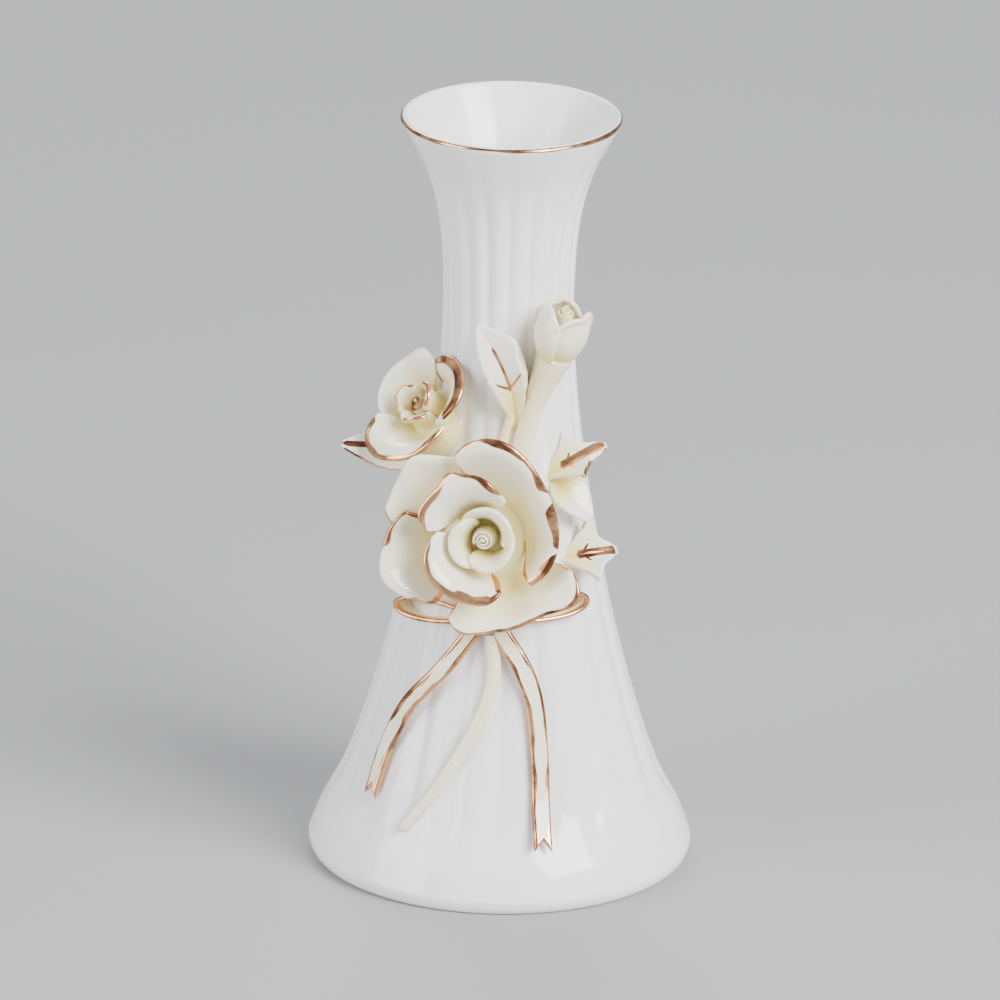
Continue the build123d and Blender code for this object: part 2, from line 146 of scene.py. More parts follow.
def sheet(name, middle, across_mm, along_mm, thickness, **attributes):
    """A rolled-out piece of clay round the grid `middle`, its free edges rounded.

    across_mm and along_mm are the distances of each grid point from the free edges, and the attribute edge
    keeps the smaller one. The other attributes are tint, how deep in the flower a point lies, which sets how
    much of the deep colour a point gets, partly the glaze's own yellow and partly painted shade; gilt, how
    many millimetres of gold the nearest edge has; and on a leaf rib, which is above 0 where a rib is gold.
    """
    rows, cols = middle.shape[:2]
    normal = np.cross(np.gradient(middle, axis=0), np.gradient(middle, axis=1))
    normal /= np.maximum(np.linalg.norm(normal, axis=2, keepdims=True), 1e-9)
    near = np.minimum(across_mm, along_mm)
    half = thickness / 2
    h = half * np.sqrt(np.clip(1 - (1 - np.clip(near / half, 0, 1)) ** 2, 0, 1))
    points = np.concatenate([middle + normal * h[..., None], middle - normal * h[..., None]])
    n = rows * cols
    upper = grid_faces(rows, cols)
    lower = grid_faces(rows, cols, start=n)[:, ::-1]
    ring = (
        [i * cols for i in range(rows)]
        + [(rows - 1) * cols + j for j in range(1, cols)]
        + [i * cols + cols - 1 for i in range(rows - 2, -1, -1)]
        + [j for j in range(cols - 2, 0, -1)]
    )
    rim = [[b, a, a + n, b + n] for a, b in zip(ring, ring[1:] + ring[:1])]
    attributes = {"edge": near, **attributes}
    both_sides = {key: np.tile(values.ravel(), 2) for key, values in attributes.items()}
    faces = list(upper) + list(lower) + rim
    return outward(mesh_object(name, points.reshape(-1, 3), faces, both_sides))


def clustered(n):
    """Parameters from 0 to 1, closer together towards both ends."""
    return 0.5 - 0.5 * np.cos(pi * np.linspace(0, 1, n))


def late_clustered(n):
    """Parameters from 0 to 1, closer together towards 1."""
    return np.sin(pi / 2 * np.linspace(0, 1, n))


def smooth(x, lo, hi):
    """0 up to lo and 1 from hi, with a smooth rise between them."""
    t = np.clip((x - lo) / (hi - lo), 0, 1)
    return t * t * (3 - 2 * t)


def bell(x, middle, broad):
    """A bump of height 1 at the middle."""
    return np.exp(-(((x - middle) / broad) ** 2))


def unit(vectors):
    return vectors / np.linalg.norm(vectors, axis=-1, keepdims=True)


def run_length(points):
    """How far along a line each of its points lies."""
    return np.concatenate([[0], np.cumsum(np.linalg.norm(np.diff(points, axis=0), axis=1))])


# ---------------------------------------------------------------- flowers


class Flower:
    """Where a flower sits: its centre c, its axis a outward, and two directions across it, e1 and e2."""

    def __init__(self, centre, axis, side=(1, 0, 0)):
        self.c = np.asarray(centre, float)
        self.a = unit(np.asarray(axis, float))
        side = np.asarray(side, float)
        self.e1 = unit(side - self.a * side.dot(self.a))
        self.e2 = np.cross(self.a, self.e1)

    def at(self, x, y, z):
        """The point x, y across the flower and z up its axis."""
        x, y, z = (np.asarray(v, float)[..., None] for v in (x, y, z))
        return self.c + x * self.e1 + y * self.e2 + z * self.a


def flower_on_body(angle, z, azimuth, elevation):
    """A flower at a place on the body, facing azimuth degrees right of the front and elevation up."""
    a, e = radians(azimuth), radians(elevation)
    axis = (sin(a) * cos(e), -cos(a) * cos(e), sin(e))
    return Flower(on_body(angle, z), axis, (cos(a), sin(a), 0))


LARGE = flower_on_body(-9, 64, -9, 10)
SMALL = flower_on_body(-67, 81.2, -48, 37)
BUD = Flower((7.8, -13.0, 95.3), (0.21, -0.12, 0.97))
CLOSED = Flower((1.8, -13.1, 88.8), (-0.1, 0.02, 1))

# A petal runs from the root radius and height up and out. Its angle from the flower's axis goes from lean to
# curl, in degrees, over the full length; the larger `late` is, the later it turns. slip puts one side of it
# over its neighbour and the other side under the next.
# root radius, root height, lean, curl, full length, late, slip
TIERS = {
    "large_inner": (3.85, 1.8, 2, 32, 9.0, 1.6, 0.65),
    "large_middle": (5.8, 1.9, 16, 150, 13.6, 4.0, 0.52),
    "large_shell": (6.8, 2.0, 40, 62, 16.0, 1.5, 0.0),
    "large_outer": (8.2, 0.7, 52, 62, 14.5, 1.6, 0.68),
    "small_inner": (3.0, 1.2, 0, 26, 7.2, 1.6, 0.5),
    "small_outer": (4.8, 0.6, 24, 120, 10.0, 3.0, 0.6),
    "bud": (2.4, 0.0, 44, -42, 12.2, 1.0, 0.5),
}
ROOT_NARROWING = {"bud": 0.06}  # how much narrower a petal is at its root, where that isn't a half
POOL_AND_SHADE_TOP = {"large": 9.5, "small": 7.5}  # the height where the pooled colour and painted shade end, where that isn't 5


def petal(name, flower, tier, middle, spread, length, corners, curl_more, wave, phase, gold):
    """One petal, from middle - spread to middle + spread degrees round the flower.

    Its grid runs across it with u from -1 to 1, and from its root to its rim with v from 0 to 1. corners are
    (u, how far it is drawn out, how broad) for the corners of the rim. curl_more turns the last fifth further
    out. gold is a list of (u, how far along the rim it reaches, how wide the line is in millimetres).
    """
    root_radius, root_height, lean, curl, full, late, slip = TIERS[tier]
    inner = tier.endswith("inner")
    columns = 81
    u = (2 * clustered(columns) - 1)[:, None]
    v = late_clustered(60)[None, :] + 0 * u
    reach = length * (1 - 0.3 * np.abs(u) ** 2.5)
    for where, drawn, broad in corners:
        reach = reach + drawn * bell(u, where, broad)
    s = reach * v
    theta = lean + (curl - lean) * (s / full) ** late + curl_more * smooth(v, 0.8, 1.0) ** 1.3
    theta = np.radians(theta)

    # Walk along each line from the root to the rim, and shift it for the slip and the ripples.
    step = np.diff(s, axis=1)
    mid = (theta[:, 1:] + theta[:, :-1]) / 2
    start = np.zeros((columns, 1))
    radius = root_radius + np.concatenate([start, np.cumsum(np.sin(mid) * step, axis=1)], axis=1)
    height = root_height + np.concatenate([start, np.cumsum(np.cos(mid) * step, axis=1)], axis=1)
    ripple = np.sin(5.3 * u + phase) * 0.6 + np.sin(8.3 * u + 2.3 * phase + 2 * v) * 0.4
    shift = slip * u + wave * smooth(v, 0.35, 1.0) * ripple - CLAY / 2
    narrow = ROOT_NARROWING.get(tier, 0.5)
    opening = 1 - narrow + narrow * np.sin(pi / 2 * np.minimum(1.0, 1.4 * v))
    turn = np.radians(middle + u * spread * opening)
    out = radius + shift * np.cos(theta)
    grid = flower.at(out * np.cos(turn), out * np.sin(turn), height - shift * np.sin(theta))

    across = (1 - np.abs(u)) * np.maximum(radius, 1.0) * radians(spread)
    along = (1 - v) * reach
    # Pooled yellow and painted shade, strongest low in the flower where the petals close in.
    top = POOL_AND_SHADE_TOP.get(tier[:5], 5.0) + (3.5 if inner else 0.0)
    tint = 1.3 * (1 - smooth(height + 0.15 * radius, 1.5, top))
    gilt = 0 * v
    for where, far, wide in gold:
        gilt = np.maximum(gilt, wide * (1 - smooth(np.abs(u - where) / far, 0.75, 1.0)))
    thickness = CLAY * (1.2 if inner else 1.0)
    finish(sheet(name, grid, across, along, thickness, tint=tint, gilt=gilt), CREAM, name)


def finish(piece, slot, node):
    """Give a piece its body and the material of its slot, and hide the imported part of the node that it
    stands for.
    """
    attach(piece, "root")
    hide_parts(node)
    piece.data.materials.append(MATERIALS[slot])


# ---------------------------------------------------------------- materials, noise scales per metre


def new_material(name):
    """An empty material with its node tree and its Principled shader."""
    material = bpy.data.materials.new(name)
    material.use_nodes = True
    tree = material.node_tree
    tree.nodes.clear()
    out = tree.nodes.new("ShaderNodeOutputMaterial")
    shader = tree.nodes.new("ShaderNodeBsdfPrincipled")
    tree.links.new(shader.outputs["BSDF"], out.inputs["Surface"])
    return material, tree, shader


def noise(tree, scale, detail=2.0, roughness=0.5):
    place = tree.nodes.new("ShaderNodeTexCoord")
    made = tree.nodes.new("ShaderNodeTexNoise")
    made.inputs["Scale"].default_value = scale
    made.inputs["Detail"].default_value = detail
    made.inputs["Roughness"].default_value = roughness
    tree.links.new(place.outputs["Object"], made.inputs["Vector"])
    return made.outputs["Fac"]


def attribute(tree, name):
    made = tree.nodes.new("ShaderNodeAttribute")
    made.attribute_name = name
    return made.outputs["Fac"]


def scalar(tree, operation, *values):
    """A Math node on numbers and sockets."""
    made = tree.nodes.new("ShaderNodeMath")
    made.operation = operation
    for i, value in enumerate(values):
        if isinstance(value, (int, float)):
            made.inputs[i].default_value = value
        else:
            tree.links.new(value, made.inputs[i])
    return made.outputs[0]


def ramp(tree, value, lo, hi, to_lo=0.0, to_hi=1.0):
    """A smooth step of a value, from to_lo at lo to to_hi at hi."""
    made = tree.nodes.new("ShaderNodeMapRange")
    made.interpolation_type = "SMOOTHSTEP"
    for key, item in (("From Min", lo), ("From Max", hi), ("To Min", to_lo), ("To Max", to_hi)):
        made.inputs[key].default_value = item
    tree.links.new(value, made.inputs["Value"])
    return made.outputs[0]


def mix_colour(tree, factor, a, b):
    made = tree.nodes.new("ShaderNodeMix")
    made.data_type = "RGBA"
    tree.links.new(factor, made.inputs[0])
    for i, value in ((6, a), (7, b)):  # the colour inputs; output 2 is the colour
        if isinstance(value, tuple):
            made.inputs[i].default_value = (*value, 1.0)
        else:
            tree.links.new(value, made.inputs[i])
    return made.outputs[2]


def bump(tree, shader, height, strength, distance):
    made = tree.nodes.new("ShaderNodeBump")
    made.inputs["Strength"].default_value = strength
    made.inputs["Distance"].default_value = distance
    tree.links.new(height, made.inputs["Height"])
    tree.links.new(made.outputs["Normal"], shader.inputs["Normal"])


GOLD_SOFTNESS = 0.14  # width in millimetres over which a line of gold fades out
# Painted dark and bright reflections for the lustre on petals, leaves and the bow; noise mixes them at
# random.
GOLD_DARK_REFLECTION, GOLD_BRIGHT_REFLECTION = (0.22, 0.085, 0.04), (0.88, 0.47, 0.23)
# Painted dark and bright reflections for the rim line's gold.
RIM_DARK_REFLECTION, RIM_BRIGHT_REFLECTION = (0.40, 0.17, 0.08), (0.88, 0.52, 0.30)


def lustre_cover(tree, ribs):
    """How much of a point is painted gold: near a gilded edge, and on a leaf along its gilded ribs."""
    wander = ramp(tree, noise(tree, 150.0, 1.5), 0.3, 0.7, 0.6, 1.4)
    wide = scalar(tree, "MULTIPLY", wander, attribute(tree, "gilt"))
    over = scalar(tree, "SUBTRACT", wide, attribute(tree, "edge"))
    painted = ramp(tree, over, 0.0, GOLD_SOFTNESS)
    if not ribs:
        return painted
    broken = scalar(tree, "MULTIPLY_ADD", noise(tree, 260.0), 0.24, -0.12)
    vein = ramp(tree, scalar(tree, "ADD", broken, attribute(tree, "rib")), 0.0, GOLD_SOFTNESS)
    return scalar(tree, "MAXIMUM", painted, vein)


def glaze(name, clean, shade, deep_colour_and_shade=None, lustre=False, ribs=False, translucent=0.0):
    """Glossy glaze on porcelain: a faint drift of colour, deep colour in the recesses that is partly the
    glaze's own yellow and partly painted shade, lustre on edges with painted reflections.
    """
    material, tree, shader = new_material(name)
    colour = mix_colour(tree, ramp(tree, noise(tree, 55.0, 3.0), 0.35, 0.7), clean, shade)
    # The deep colour is partly the glaze's own yellow and partly painted shade, laid on deep in a flower,
    # near a root or where parts meet.
    if deep_colour_and_shade:
        uneven = ramp(tree, noise(tree, 160.0), 0.2, 0.7, 0.75, 1.0)
        pooled_and_shade = scalar(tree, "MULTIPLY", attribute(tree, "tint"), uneven)
        colour = mix_colour(tree, pooled_and_shade, colour, deep_colour_and_shade)
    rough = ramp(tree, noise(tree, 240.0), 0.3, 0.7, 0.10, 0.17)
    if lustre:
        painted = lustre_cover(tree, ribs)
        # The gold's colour swings between a painted dark reflection and a painted bright reflection.
        reflection_mix = ramp(tree, noise(tree, 190.0, 3.0, 0.6), 0.36, 0.60)
        colour = mix_colour(tree, painted, colour, mix_colour(tree, reflection_mix, GOLD_DARK_REFLECTION, GOLD_BRIGHT_REFLECTION))
        rough = scalar(tree, "ADD", rough, scalar(tree, "MULTIPLY", painted, 0.12))
        tree.links.new(painted, shader.inputs["Metallic"])
    tree.links.new(colour, shader.inputs["Base Color"])
    tree.links.new(rough, shader.inputs["Roughness"])
    shader.inputs["IOR"].default_value = 1.52
    shader.inputs["Subsurface Weight"].default_value = translucent
    shader.inputs["Subsurface Radius"].default_value = (1.0, 0.85, 0.55)
    shader.inputs["Subsurface Scale"].default_value = 0.0012
    bump(tree, shader, noise(tree, 130.0), 0.10, 0.0006)
    return material


def lustre_material():
    """The fired gold of the rim line, its colour painted darker and brighter in places as painted
    reflections.
    """
    material, tree, shader = new_material(GOLD)
    # Painted reflections: noise mixes dark and bright patches into the rim gold's colour.
    colour = mix_colour(tree, ramp(tree, noise(tree, 260.0, 3.0), 0.3, 0.7), RIM_DARK_REFLECTION, RIM_BRIGHT_REFLECTION)
    tree.links.new(colour, shader.inputs["Base Color"])
    rough = ramp(tree, noise(tree, 500.0), 0.3, 0.7, 0.12, 0.26)
    tree.links.new(rough, shader.inputs["Roughness"])
    shader.inputs["Metallic"].default_value = 1.0
    bump(tree, shader, noise(tree, 400.0), 0.15, 0.0003)
    return material


MATERIALS = {
    WHITE: glaze(WHITE, (0.92, 0.91, 0.92), (0.89, 0.88, 0.90)),
    CREAM: glaze(
        CREAM, (0.93, 0.89, 0.75), (0.92, 0.85, 0.64), deep_colour_and_shade=(0.87, 0.76, 0.31),
        lustre=True, translucent=0.25,
    ),
    LEAF: glaze(
        LEAF, (0.93, 0.91, 0.85), (0.91, 0.88, 0.79), deep_colour_and_shade=(0.88, 0.70, 0.18),
        lustre=True, ribs=True, translucent=0.25,
    ),
    GOLD: lustre_material(),
}

# ---------------------------------------------------------------- the cast body


def build_body():
    """The fluted body as rings of points: up the outside, over the lip and down the inside."""
    columns = FLUTES * 16
    a = np.linspace(0, 2 * pi, columns, endpoint=False)
    groove = 1 - np.sqrt(np.sin(a * FLUTES / 2) ** 2 + 0.012)
    lip = body_radius(LIP_MIDDLE) - LIP_ROUND
    foot = body_radius(FOOT_ROUND) - FOOT_RADIUS
    rows = []

    def ring(z, r, depth=0.0):
        r = r - depth * groove
        rows.append(np.stack([r * np.cos(a), r * np.sin(a), np.full(columns, z)], -1))

    for r in np.linspace(0.02, RECESS_RADIUS, 10):  # under the foot
        ring(RECESS_DEPTH, r)
    for t in np.linspace(0, 1, 7):  # the inner side of the foot ring
        ring(max(RECESS_DEPTH * (1 - t), 0.05), 25.2 + 1.2 * t)
    for r in (27.0, 29.5):  # the foot ring's flat underside
        ring(0.0, r)
    for t in np.linspace(0, 1, 12):  # the rounded foot
        ring(FOOT_ROUND * (1 - cos(pi / 2 * t)), FOOT_RADIUS + foot * sin(pi / 2 * t))
    for lowest, highest, count in ((3.0, 16, 24), (17, 120, 100), (121, LIP_MIDDLE, 22)):
        for z in np.linspace(lowest, highest, count):
            rise = min(1.0, max(0.0, (z - BAND_TOP) / 8.0))
            fall = min(1.0, max(0.12, (LIP_BOTTOM + 1 - z) / 14.0))
            ring(z, body_radius(z), FLUTE_DEPTH * rise * fall)
    for t in np.linspace(0.08, 1, 14):  # the lip
        ring(LIP_MIDDLE + LIP_ROUND * sin(pi * t), lip + LIP_ROUND * cos(pi * t), 0.05 * (1 - t))
    for z in np.linspace(LIP_MIDDLE - 0.5, 5.2, 110):  # the inside
        ring(z, profile_radius(INSIDE, z))
    for r in np.linspace(24.5, 0.02, 12):  # the floor inside, raised at its edge
        ring(FLOOR + 0.7 * smooth(r, 22.0, 25.6), r)
    faces = grid_faces(len(rows), columns, wrap=True)
    finish(outward(mesh_object("porcelain_body", np.concatenate(rows), faces)), WHITE, "vase_body")


def build_rim_line():
    """The line of lustre that wanders along the outer edge of the lip."""
    columns = 320
    a = np.linspace(0, 2 * pi, columns, endpoint=False)
    lip = body_radius(LIP_MIDDLE) - LIP_ROUND
    wander = 0.14 * np.sin(3 * a + 0.6) + 0.10 * np.sin(7 * a + 2.0) + 0.05 * np.sin(17 * a)
    rows = []
    for t in np.linspace(0, 1, 9):
        moved = (wander if t < 0.5 else -wander * 0.5) * (1 if t in (0, 1) else 0.6)
        angle = (-0.02 + 1.08 * t) + moved
        lift = LIP_ROUND + 0.045 * np.sin(pi * t) ** 0.5 - 0.01
        r = lip + lift * np.cos(angle)
        rows.append(np.stack([r * np.cos(a), r * np.sin(a), LIP_MIDDLE + lift * np.sin(angle)], -1))
    faces = grid_faces(len(rows), columns, wrap=True)
    finish(mesh_object("rim_lustre", np.concatenate(rows), faces), GOLD, "rim_gold_line")


build_body()
build_rim_line()

# ---------------------------------------------------------------- roses


def base(name, flower, radius, height, node):
    """The pad of clay under a rose: a low dome on a short cylinder that runs into the body."""
    profile = [(radius, -3.2), (radius, -1.6)]
    for t in np.linspace(0, 1, 26):
        profile.append((radius * cos(pi / 2 * t) ** 0.8 + 0.01, height * sin(pi / 2 * t)))
    r, h = (values[:, None] for values in np.array(profile).T)
    a = np.linspace(0, 2 * pi, 48, endpoint=False)
    points = flower.at(r * np.cos(a), r * np.sin(a), h + 0 * a)
    count = points[..., 0].size
    # The pad lies under the petals: nearly all deep colour, the glaze's yellow with painted shade.
    attributes = even(count, edge=OPEN, tint=0.9, gilt=0.0)
    faces = grid_faces(len(profile), len(a), wrap=True)
    finish(outward(mesh_object(name, points.reshape(-1, 3), faces, attributes)), CREAM, node)


def core(name, flower, outer, low, top, node, gilt=0.0):
    """A rolled-up strip of clay: the spiral at a rose's heart, its top edge stepping down outward."""
    strip, spacing, hole = 0.42, 0.68, 0.22
    wound = outer - 0.45
    k = np.linspace(0, 1, 120)[:, None]
    v = late_clustered(30)[None, :] + 0 * k
    angle = 2 * pi * (wound / spacing) * k
    crest = top - 1.35 * (1 - (1 - k) ** 1.5) + 0.25 * np.sin(angle + 0.7)
    height = low + (crest - low) * v
    r = (hole + wound * k) * (1 + 0.10 * np.sin(pi * v) - 0.14 * smooth(v, 0.6, 1.0))
    grid = flower.at(r * np.cos(angle), r * np.sin(angle), height)
    across = (1 - np.abs(2 * k - 1)) * 8 + 0 * v
    # Deeper colour towards the foot of the spiral: pooled yellow with painted shade.
    tint = 0.45 + 0.6 * (1 - v)
    piece = sheet(name, grid, across, crest - height, strip, tint=tint, gilt=gilt + 0 * v)
    finish(piece, CREAM, node)


base("large_rose_pad", LARGE, 9.4, 3.6, "large_rose_base")
base("small_rose_pad", SMALL, 6.4, 2.7, "small_rose_base")
core("large_rose_heart", LARGE, 2.2, 1.0, 9.8, "large_rose_core")
core("small_rose_heart", SMALL, 1.9, 1.6, 8.0, "small_rose_core", gilt=0.28)
core("rosebud_heart", BUD, 1.9, -0.4, 10.4, "rosebud_core")

# flower and tier, then for each petal: name, middle, spread, length, corners, extra curl, wave, phase, gold
PETALS = [
    (LARGE, "large_inner", [
        ("large_rose_inner_left", 188, 76, 8.6, [], 32, 0.2, 0.4, []),
        ("large_rose_inner_top", 64, 76, 9.2, [], 36, 0.2, 1.9, []),
        ("large_rose_inner_bottom", 306, 76, 8.2, [], 32, 0.2, 3.0, []),
    ]),
    (LARGE, "large_middle", [
        ("large_rose_middle_left", 117, 55, 12.6, [(0.8, 1.5, 0.3), (0.0, 1.1, 0.13)], 0, 0.25, 0.8,
         [(0.1, 1.0, 0.9)]),
        ("large_rose_middle_bottom", 232, 62, 11.2, [(0.85, 1.6, 0.3)], 25, 0.25, 2.2,
         [(0.1, 1.0, 0.8), (0.5, 0.35, 1.1)]),
    ]),
    (LARGE, "large_shell", [
        ("large_rose_middle_right", 34, 76, 9.0, [(0.75, 7.4, 0.5)], 55, 0.35, 4.1,
         [(0.55, 0.5, 0.9), (-0.25, 0.25, 1.1), (-0.8, 0.3, 1.0)]),
    ]),
    (LARGE, "large_outer", [
        ("large_rose_outer_left", 147, 34, 12.0, [(-0.4, 1.4, 0.3), (0.6, 0.8, 0.15)], 20, 0.4, 1.2,
         [(0.8, 0.25, 0.6)]),
        ("large_rose_outer_low", 200, 36, 11.5, [(0.1, 1.7, 0.35)], 25, 0.4, 2.4,
         [(-0.7, 0.4, 0.7), (0.85, 0.3, 0.8)]),
        ("large_rose_outer_bottom", 296, 48, 10.1, [(-0.85, 2.4, 0.3), (0.75, 4.6, 0.3)], 25, 0.35, 3.3,
         [(0.0, 1.1, 0.7)]),
    ]),
    (SMALL, "small_inner", [
        ("small_rose_inner_left", 170, 62, 6.8, [], 20, 0.15, 0.5, [(0.0, 0.8, 0.32)]),
        ("small_rose_inner_top", 50, 62, 7.2, [], 15, 0.15, 2.0, [(0.0, 0.9, 0.35)]),
        ("small_rose_inner_bottom", 290, 62, 6.7, [], 15, 0.15, 3.4, [(0.3, 0.6, 0.2)]),
    ]),
    (SMALL, "small_outer", [
        ("small_rose_outer_left", 155, 62, 8.2, [(-0.8, 1.5, 0.3)], 0, 0.25, 0.9, []),
        ("small_rose_outer_top", 42, 60, 9.2, [], 10, 0.25, 1.7, [(0.1, 0.95, 1.1)]),
        ("small_rose_outer_bottom", 280, 66, 9.6, [(-0.5, 1.0, 0.3)], 5, 0.25, 4.3, [(0.0, 1.0, 1.0)]),
    ]),
    (BUD, "bud", [
        ("rosebud_petal_left", 200, 66, 11.4, [], 10, 0.2, 0.3, []),
        ("rosebud_petal_back", 80, 66, 12.4, [], -25, 0.2, 1.6, []),
        ("rosebud_petal_right", 320, 66, 10.6, [(0.5, 0.9, 0.2)], 75, 0.2, 3.0, []),
    ]),
]
for flower, tier, rows in PETALS:
    for name, *numbers in rows:
        petal(name, flower, tier, *numbers)

# ---------------------------------------------------------------- stems and the closed bud


def curve_points(points, n):
    """A smooth curve through the points, evenly sampled."""
    points = np.asarray(points, float)
    at = run_length(points)
    where = np.linspace(0, at[-1], n)
    return np.stack([smooth_curve(at, points[:, axis], where) for axis in range(3)], -1)


def rod(name, path, radii, node, tint, rounded=(False, False)):
    """A round rod of changing radius along a path, with its start and its end rounded if rounded says so."""
    n, columns = 60, 28
    spine = curve_points(path, n)
    r = np.interp(np.linspace(0, 1, n), np.linspace(0, 1, len(radii)), radii)
    lengths = run_length(spine)
    for wanted, gap in zip(rounded, (lengths, lengths[-1] - lengths)):
        if wanted:
            near = np.clip(gap / (0.9 * r.max()), 0, 1)
            r = r * np.sqrt(np.clip(1 - (1 - near) ** 2, 0.0004, 1))
    along = unit(np.gradient(spine, axis=0))
    side = unit(np.cross(along, (0.3, 0.9, 0.1)))
    other = np.cross(along, side)
    a = np.linspace(0, 2 * pi, columns, endpoint=False)
    uneven = 1 + 0.05 * np.sin(3 * a)[None, :] * np.sin(np.linspace(0, 5, n))[:, None]
    points = spine[:, None] + (r[:, None] * uneven)[..., None] * (
        np.cos(a)[None, :, None] * side[:, None] + np.sin(a)[None, :, None] * other[:, None]
    )
    count = n * columns
    ends = [list(range(columns))[::-1], list(range(count - columns, count))]
    faces = list(grid_faces(n, columns, wrap=True)) + ends
    attributes = even(count, edge=OPEN, tint=tint, gilt=0.0, rib=OPEN)
    finish(outward(mesh_object(name, points.reshape(-1, 3), faces, attributes)), CREAM, node)


rod(
    "rosebud_stalk",
    [on_body(8, 73.5, 0.2), on_body(11.5, 78.5, 0.3), (4.8, -12.9, 87.2), BUD.c + BUD.a * 0.6],
    (1.3, 1.65, 1.75, 1.9, 2.4, 3.3), "rosebud_stem", tint=0.3,
)
rod(
    "closed_bud_body", [CLOSED.at(0, 0, h) for h in (-0.6, 2.0, 4.6, 7.2, 10.2)],
    (1.2, 2.0, 2.2, 1.8, 1.2, 0.4), "closed_bud", tint=0.25, rounded=(True, True),
)
rod(
    "closed_bud_stalk",
    [on_body(-3, 75.0, 0.1), on_body(-2, 80.0, 0.3), (0.7, -13.3, 85.0), CLOSED.at(0, 0, 0.5)],
    (0.8, 0.8, 0.75, 0.8), "closed_bud_stem", tint=0.6,
)
STEM_PATH = [(-1.9, 46.5), (-1.6, 39.0), (-3.8, 32.2), (-10.0, 21.7), (-17.6, 11.8)]
rod(
    "stem_rib", [front(x, z, 0.35) for x, z in STEM_PATH],
    (1.35, 1.3, 1.2, 1.05, 0.9), "stem_end", tint=0.18, rounded=(False, True),
)

# ---------------------------------------------------------------- leaves


def span(t, start, end, run_in):
    """1 from start to end, and 0 elsewhere, with soft ends."""
    return smooth(t, start - run_in, start) * (1 - smooth(t, end, end + 0.05))


def leaf(name, root, tip, across, shape, rib, lobes=0.0, shoulder=0.0, veins=(), gilded=()):
    """A leaf. shape is width, arch, bend sideways, fold on the rib, where it is widest, how pointed.

    Its grid runs along it with t from 0 to 1, and across it with s from -1 to 1. lobes pinches it in the
    middle, and shoulder widens its positive side near the tip. rib is where the gold on the midrib starts and
    ends and its half width. veins are (start, side, run) for the gilded side veins, and gilded is
    (side, from, to, width) for gold on the leaf's edge.
    """
    width, arch, bend, fold, widest, pointed = shape
    root, tip, across = (np.asarray(p, float) for p in (root, tip, across))
    along = tip - root
    length = np.linalg.norm(along)
    side = unit(across - along * (across.dot(along) / along.dot(along)))
    up = unit(np.cross(side, along))
    t = clustered(110)[:, None]
    s = (2 * clustered(49) - 1)[None, :]

    half = width / 2 * (0.12 + 0.88 * np.sin(pi * t**widest) ** pointed)
    saw = 0.30 / width * (np.abs(((t * 9) % 1.0) - 0.25) * 1.1 - 0.4) * np.sin(pi * t)
    half = half * (1 + 2 * saw + lobes * (bell(t, 0.52, 0.07) - 0.8 * bell(t, 0.76, 0.12)))
    half = half * (1 + shoulder * bell(t, 0.86, 0.11) * smooth(s, 0.0, 0.5))
    spine = root + along * t + (up * arch + side * bend) * np.sin(pi * t)
    ripple = 0.22 * np.sin(9 * t + 2 * np.sign(s)) * np.abs(s) ** 2
    groove = -0.14 * bell(s, 0.0, 0.17) * np.sin(pi * t) ** 0.5
    crease = fold * half * (np.sqrt(s**2 + 0.02) - 0.14) + ripple + groove
    grid = spine[:, None] + side * (half * s)[..., None] + up * crease[..., None]

    off_rib = np.abs(s) * half
    inside = rib[2] * span(t, rib[0], rib[1], 0.06) - off_rib
    for start, which, run in veins:
        reach = (1 - smooth(off_rib / run, 0.8, 1.0)) * (which * s > 0)
        off_vein = np.abs((t - start) * length - 0.9 * off_rib)
        inside = np.maximum(inside, 0.24 * reach - off_vein * 0.7)
    across_mm = (1 - np.abs(s)) * half
    along_mm = np.minimum(t, 1 - t) * length + 0 * across_mm
    gilt = 0 * across_mm
    for which, start, end, wide in gilded:
        gilt = np.maximum(gilt, wide * span(t, start, end, 0.05) * (which * s > 0))
    # Deep colour near the root and along the middle of the leaf: its yellow with painted shade.
    tint = 1.3 * (1 - smooth(t, 0.15, 0.75)) * (1 - 0.6 * np.abs(s))
    grid = grid - up * CLAY / 2
    piece = sheet(name, grid, across_mm, along_mm, CLAY, tint=tint, gilt=gilt, rib=inside)
    finish(piece, LEAF, name)


leaf(
    "leaf_left", on_body(-58, 77.0, -0.6), (-28.4, -6.5, 76.5), (0, -0.7, -0.7),
    (8.5, 0.8, 0.0, 0.3, 0.8, 0.9), rib=(0.45, 0.95, 0.5), veins=[(0.62, -1, 1.6)],
    gilded=[(1, 0.35, 0.95, 0.35), (-1, 0.8, 1.0, 0.3)],
)
leaf(
    "leaf_centre", on_body(8, 81.0, -0.4), (-5.0, -15.2, 101.7), (1, 0, 0.3),
    (6.8, 1.8, 1.8, 0.3, 1.5, 0.8), rib=(0.45, 0.78, 0.5), shoulder=0.75,
    veins=[(0.44, 1, 3.4), (0.43, -1, 2.4)],
)
leaf(
    "leaf_right_upper", on_body(30, 73.0, -0.6), (17.2, -10.0, 78.8), (0.1, -0.7, -0.7),
    (7.2, 0.5, 0.0, 0.5, 1.1, 1.3), rib=(0.32, 0.95, 1.1), lobes=0.35,
    veins=[(0.36, -1, 1.8), (0.34, 1, 2.4)], gilded=[(1, 0.5, 0.7, 0.3)],
)
leaf(
    "leaf_right_middle", on_body(38, 72.5, -0.6), (15.0, -12.2, 65.6), (-0.6, -0.7, -0.4),
    (7.0, 0.8, 0.0, 0.2, 0.8, 0.8), rib=(0.0, 0.0, 0.0),
)
